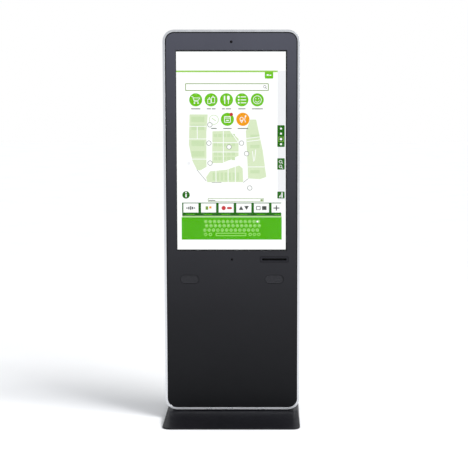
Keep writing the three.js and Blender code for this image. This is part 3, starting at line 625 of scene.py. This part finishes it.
def emblem(draw, kind, x, y):
    """Plain shapes that stand where an exhibitor's mark would."""
    if kind == 0:
        for step, rise in enumerate((6, 12, 18, 12, 6)):
            draw.rect("dark", 3, x - 22 + 9 * step, y - rise / 2, x - 16 + 9 * step, y + rise / 2)
    elif kind == 1:
        draw.rect("olive", 3, x - 14, y - 8, x - 2, y + 8)
        draw.rect("orange", 3, x + 3, y - 8, x + 14, y + 2)
    elif kind == 2:
        draw.disc("red", 3, x - 12, y, 10, 20)
        draw.soft_rect("red", 3, x + 4, y - 5, x + 27, y + 5, 4)
    elif kind == 3:
        draw.shape("dark", 3, [(x - 24, y + 9), (x - 2, y + 9), (x - 13, y - 10)])
        draw.shape("dark", 3, [(x + 2, y - 10), (x + 24, y - 10), (x + 13, y + 9)])
    elif kind == 4:
        draw.outline("dark", 3, x - 24, y - 8, x - 6, y + 8, 3)
        draw.rect("dark", 3, x + 3, y - 9, x + 24, y + 9)
    else:
        draw.line("dark", 3, [(x - 14, y), (x + 14, y)], 5)
        draw.line("dark", 3, [(x, y - 12), (x, y + 12)], 5)


def tiles(draw):
    draw.outline("olive", 1, 148, 696, 412, 711, 2)
    draw.line("grey", 2, [(150, 706), (182, 706)], 4.5)
    draw.rect("olive", 2, 398, 700, 409, 708)
    draw.rect("dark_green", 1, 23.5, 716, 497.5, 780)
    for step in range(6):
        left = 29.5 + 84.3 * step
        right = min(left + 72, 497.5)
        draw.rect("white", 2, left, 719.5, right, 763.5)
        emblem(draw, step, (left + right) / 2, 742)
        draw.line("key_green", 2, [(left + 12, 772), (min(left + 54, 494), 772)], 3.4)
    draw.rect("line_green", 1, 23.5, 781, 499.5, 785)


def keyboard(draw):
    draw.rect("key_green", 1, 20.5, 786, 499.5, 894)
    pitch, first = 21, 136
    for row, (y, shift, keys) in enumerate(((807, 0, 13), (827, 4, 13), (848, -5, 13))):
        for key in range(keys):
            x = first + shift + key * pitch
            draw.ring("pale_key", 2, x, y, 6.4, 3, 12)
            draw.line("white", 2, [(x - 2, y), (x + 2, y)], 1.8 + 0.4 * (row == 1))
    y = 869
    for x in (135, 158, 349, 369, 390):
        draw.ring("pale_key", 2, x, y, 6.4, 3, 12)
    draw.outline("pale_key", 2, 185, 863, 328, 875, 3)
    draw.disc("white", 3, 383, 807, 5, 12)


screen = Drawing()
for section in (header, icons, floor_map, side_buttons, tiles, keyboard):
    section(screen)
screen.build()

# The black border printed on the back of the glass, round the lit area.
pierced(
    "glass_print_border",
    rounded(GLASS_LOW.x + MM, GLASS_HIGH.x - MM, GLASS_LOW.z + MM, GLASS_HIGH.z - MM, 3 * MM),
    [rounded(SCREEN_LEFT, SCREEN_RIGHT, SCREEN_BOTTOM, SCREEN_TOP, 0.5 * MM)],
    GLASS_HIGH.y + 0.1 * MM, GLASS_HIGH.y + 0.35 * MM, BLACK_PRINT,
)


# ---------------------------------------------------------------- speaker grilles


def speaker_grille(side):
    """Recessed oval tray with fine staggered perforations."""
    node = "speaker_grille_" + side
    low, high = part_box(node)
    margin = 6.3 * MM  # flange of the solid beyond the visible oval
    x0, x1 = low.x + margin, high.x - margin
    z0, z1 = low.z + margin, high.z - margin
    radius = (z1 - z0) / 2 - 0.01 * MM
    middle_x, middle_z = (x0 + x1) / 2, (z0 + z1) / 2
    pitch, hole = 4.2 * MM, 1.35 * MM
    reach = radius - 3.6 * MM
    straight = (x1 - x0) / 2 - radius
    holes = []
    for row in range(-4, 5):
        z = row * pitch * math.sqrt(3) / 2
        for step in range(-12, 13):
            x = (step + (row % 2) / 2) * pitch
            beyond = max(abs(x) - straight, 0)
            if math.hypot(beyond, z) < reach:
                holes.append(circle(middle_x + x, middle_z + z, hole, 10))
    face = low.y + 2.4 * MM
    plate = pierced(
        node + "_perforated", rounded(x0, x1, z0, z1, radius, 12), holes,
        face, face + 0.9 * MM, GRILLE,
    )
    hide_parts(node)
    rim_in = 1.4 * MM
    # The rim lining the recess is matt black all round: painted shade of the recess walls.
    pierced(
        node + "_painted_shade_rim", rounded(x0, x1, z0, z1, radius, 12),
        [rounded(x0 + rim_in, x1 - rim_in, z0 + rim_in, z1 - rim_in, radius - rim_in, 12)],
        low.y - 0.25 * MM, face, DEEP_BLACK, bevel=0.2 * MM,
    )


for side in ("left", "right"):
    speaker_grille(side)


# ---------------------------------------------------------------- fasteners and small fittings

# Thin black seal round the receipt bezel, on the panel's face.
bezel_low, bezel_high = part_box("receipt_bezel")
bezel_x, bezel_z = (bezel_low.x + bezel_high.x) / 2, (bezel_low.z + bezel_high.z) / 2


def bezel_outline(half_wide, half_tall, radius):
    return rounded(
        bezel_x - half_wide, bezel_x + half_wide, bezel_z - half_tall, bezel_z + half_tall, radius
    )


pierced(
    "receipt_bezel_seal",
    bezel_outline(68.8 * MM, 13.8 * MM, 4.6 * MM),
    [bezel_outline(67.2 * MM, 12.2 * MM, 3 * MM)],
    PANEL_LOW.y - 0.5 * MM, PANEL_LOW.y - 0.05 * MM, DEEP_BLACK,
)


def lathed(name, profile, place, material, body="root", steps=20):
    """Round piece on a Y axis: profile is (radius, y towards the front) from axis to axis."""
    work = bmesh.new()
    x, y, z = place
    rings = []
    for radius, out in profile:
        if radius == 0:
            rings.append([work.verts.new((x, y + out, z))])
            continue
        rings.append([
            work.verts.new((x + radius * math.cos(t), y + out, z + radius * math.sin(t)))
            for t in (2 * math.pi * i / steps for i in range(steps))
        ])
    for first, second in zip(rings, rings[1:]):
        for i in range(steps):
            j = (i + 1) % steps
            corners = [
                first[i % len(first)], first[j % len(first)],
                second[j % len(second)], second[i % len(second)],
            ]
            unique = list(dict.fromkeys(corners))
            work.faces.new(unique)
    bmesh.ops.recalc_face_normals(work, faces=work.faces)
    mesh = bpy.data.meshes.new(name)
    work.to_mesh(mesh)
    work.free()
    return piece(name, mesh, material, body)


def screw(name, x, z, face, body):
    """Domed hex-socket screw on the rear face."""
    head, socket = 4.2 * MM, 1.7 * MM
    profile = [
        (0, 1.0 * MM), (socket, 1.0 * MM), (socket, 2.0 * MM), (head * 0.62, 1.9 * MM),
        (head * 0.88, 1.4 * MM), (head, 0.5 * MM), (head, 0.05 * MM), (0, 0.05 * MM),
    ]
    lathed(name, profile, (x, face, z), FINISHES["bolt_zinc"], body, 18)


REAR_LOW, REAR_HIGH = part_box("rear_panel")
INLET_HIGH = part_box("inlet_panel")[1]
SCREW_INSET = 16 * MM
screw_rows = {
    "rear_panel": [REAR_LOW.z + SCREW_INSET, (REAR_LOW.z + REAR_HIGH.z) / 2, REAR_HIGH.z - 3.4 * SCREW_INSET],
    "inlet_panel": [INLET_HIGH.z - SCREW_INSET],
}
for panel, heights in screw_rows.items():
    low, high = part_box(panel)
    for level, z in enumerate(heights):
        for side, x in (("left", low.x + SCREW_INSET), ("right", high.x - SCREW_INSET)):
            screw(f"{panel}_screw_{side}_{level}", x, z, high.y, "root")

for level in ("upper", "lower"):
    low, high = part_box("door_leaf_" + level)
    for step, share in enumerate((0.28, 0.72)):
        z = low.z + (high.z - low.z) * share
        screw(f"door_leaf_screw_{level}_{step}", high.x - 7 * MM, z, low.y + 2.7 * MM, "service_door")

# Contact pins in the mains inlet.
OPENINGS = {row["name"]: row["box_m"] for row in frame["record"]["physics"]["openings"]}
socket_low, socket_high = (Vector(corner) for corner in OPENINGS["inlet_socket"])
socket_middle = (socket_low + socket_high) / 2
for name, across, down in (("left", -7, -2), ("right", 7, -2), ("earth", 0, 3)):
    x = socket_middle.x + across * MM
    z = socket_middle.z + down * MM
    prisms(
        "inlet_pin_" + name, [rounded(x - 1 * MM, x + 1 * MM, z - 2.4 * MM, z + 2.4 * MM, 0.4 * MM, 3)],
        socket_low.y - 0.6 * MM, socket_high.y - 5 * MM, BRASS,
    )

# Butt joint of the bent edge frame, low in the middle of the front.
prisms(
    "edge_frame_joint",
    [rounded(-0.35 * MM, 0.35 * MM, CABINET_LOW.z + 1.7 * MM, CABINET_LOW.z + 9 * MM, 0.2 * MM, 2)],
    CABINET_LOW.y - 0.06 * MM, CABINET_LOW.y + 0.3 * MM, FINISHES["gasket_rubber"],
)

# ---------------------------------------------------------------- floor, light and camera


def floor():
    nodes = Nodes("studio_floor")
    shade = nodes.mix(nodes.spread(nodes.noise(2.0, 3.0), 0, 1), (0.9, 0.9, 0.9, 1), (0.93, 0.93, 0.93, 1))
    nodes.link(shade, nodes.shader.inputs["Base Color"])
    nodes.shader.inputs["Roughness"].default_value = 0.7
    nodes.shader.inputs["Specular IOR Level"].default_value = 0.1
    mesh = bpy.data.meshes.new("floor")
    reach = 30
    corners = [(-reach, -reach, 0), (reach, -reach, 0), (reach, reach, 0), (-reach, reach, 0)]
    mesh.from_pydata(corners, [], [(0, 1, 2, 3)])
    mesh.materials.append(nodes.material)
    item = bpy.data.objects.new("floor", mesh)
    bpy.context.scene.collection.objects.link(item)


def area(name, place, target, size, power, colour=(1, 1, 1)):
    light = bpy.data.lights.new(name, "AREA")
    light.shape = "DISK"
    light.size = size
    light.energy = power
    light.color = colour
    item = bpy.data.objects.new(name, light)
    item.location = place
    item.rotation_euler = (Vector(target) - Vector(place)).to_track_quat("-Z", "Y").to_euler()
    bpy.context.scene.collection.objects.link(item)


def sun(name, direction, strength, spread):
    light = bpy.data.lights.new(name, "SUN")
    light.energy = strength
    light.angle = math.radians(spread)
    item = bpy.data.objects.new(name, light)
    item.rotation_euler = Vector(direction).to_track_quat("Z", "Y").to_euler()
    bpy.context.scene.collection.objects.link(item)


def world():
    """White surroundings, softer as light than as a backdrop."""
    scene_world = bpy.data.worlds.new("studio")
    scene_world.use_nodes = True
    tree = scene_world.node_tree
    backdrop = tree.nodes["Background"]
    backdrop.inputs["Color"].default_value = (1, 1, 1, 1)
    backdrop.inputs["Strength"].default_value = 1.0
    soft = tree.nodes.new("ShaderNodeBackground")
    soft.inputs["Color"].default_value = (0.95, 0.97, 1, 1)
    soft.inputs["Strength"].default_value = 0.68
    rays = tree.nodes.new("ShaderNodeLightPath")
    blend = tree.nodes.new("ShaderNodeMixShader")
    tree.links.new(rays.outputs["Is Camera Ray"], blend.inputs["Fac"])
    tree.links.new(soft.outputs[0], blend.inputs[1])
    tree.links.new(backdrop.outputs[0], blend.inputs[2])
    tree.links.new(blend.outputs[0], tree.nodes["World Output"].inputs["Surface"])
    bpy.context.scene.world = scene_world


def camera():
    """Eye-height view from well in front, aimed a little down."""
    lens = bpy.data.cameras.new("camera")
    lens.sensor_width = 36
    lens.lens = 105.7
    lens.shift_x = -0.0876
    item = bpy.data.objects.new("camera", lens)
    item.location = (0.2065, CABINET_LOW.y - 6.536, 1.6245)
    item.rotation_euler = (math.radians(90 - 6.31), 0, 0)
    bpy.context.scene.collection.objects.link(item)
    bpy.context.scene.camera = item


floor()
world()
sun("key", (2.6, -1.6, 3.4), 2.0, 26)
area("front_fill", (2.3, -2.8, 2.3), (0.2, 0, 1.4), 1.6, 62, (0.92, 0.94, 1))
camera()
bpy.context.scene.view_settings.view_transform = "Standard"
